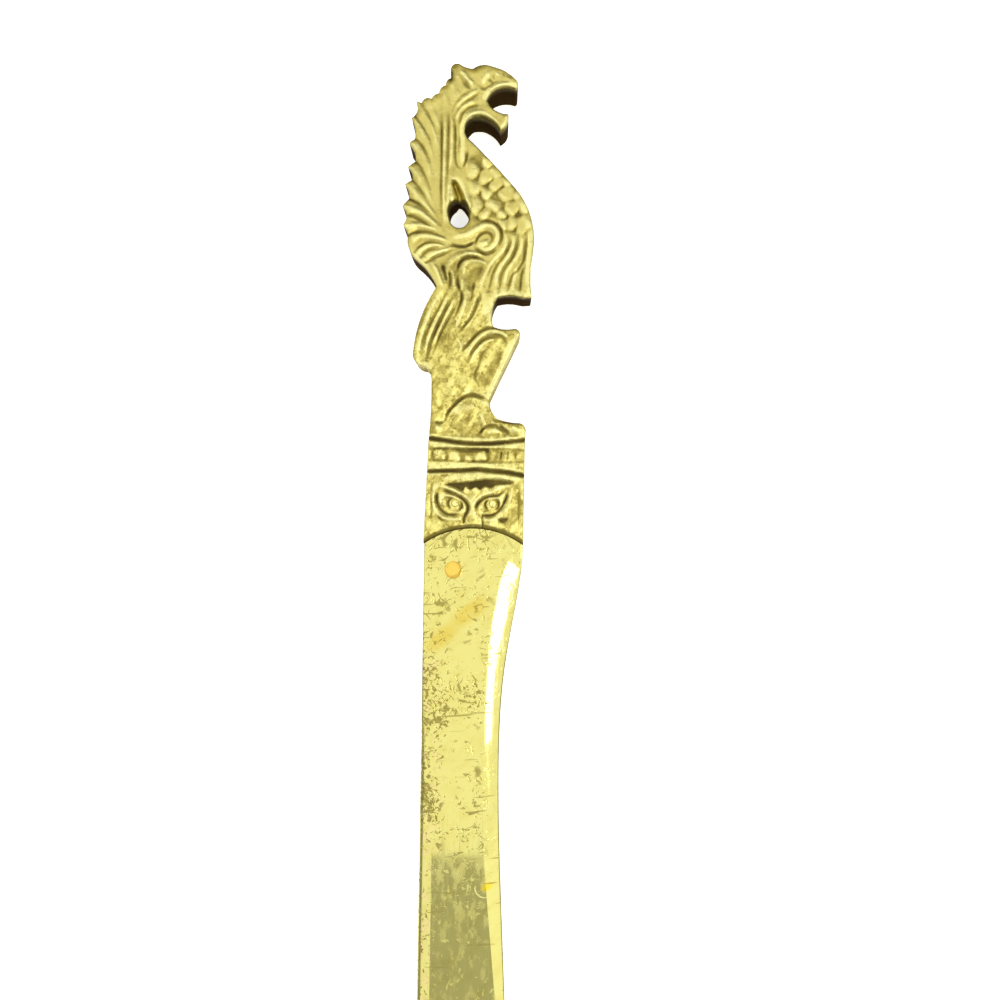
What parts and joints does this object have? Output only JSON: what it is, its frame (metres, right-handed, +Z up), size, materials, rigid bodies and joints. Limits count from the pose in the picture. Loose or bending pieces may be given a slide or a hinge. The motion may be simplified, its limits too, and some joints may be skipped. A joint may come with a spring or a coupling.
{
  "type": "letter opener",
  "caption": "Brass letter opener: a cast seated winged beast on a beaded plinth with a mask is the grip, pinned to the tang of a flat recurved blade that slits envelopes.",
  "frame": {"origin": "under the middle of the whole length and width, on the surface that the opener lies on", "axes": "+X across, to the side that the beast faces; +Y along the length, towards the beast's head; +Z up, out of the front face"},
  "size_m": [0.0221, 0.2303, 0.0065],
  "materials": {
    "cast_brass": "cast and hand polished, with dark patina in the recesses",
    "polished_brass": "polished, with fine scratches",
    "pin_brass": "dressed and polished"
  },
  "bodies": {
    "root": {"figure_handle": "cast_brass", "blade": "polished_brass", "tang_pin_left": "pin_brass", "tang_pin_right": "pin_brass"}
  },
  "joints": []
}
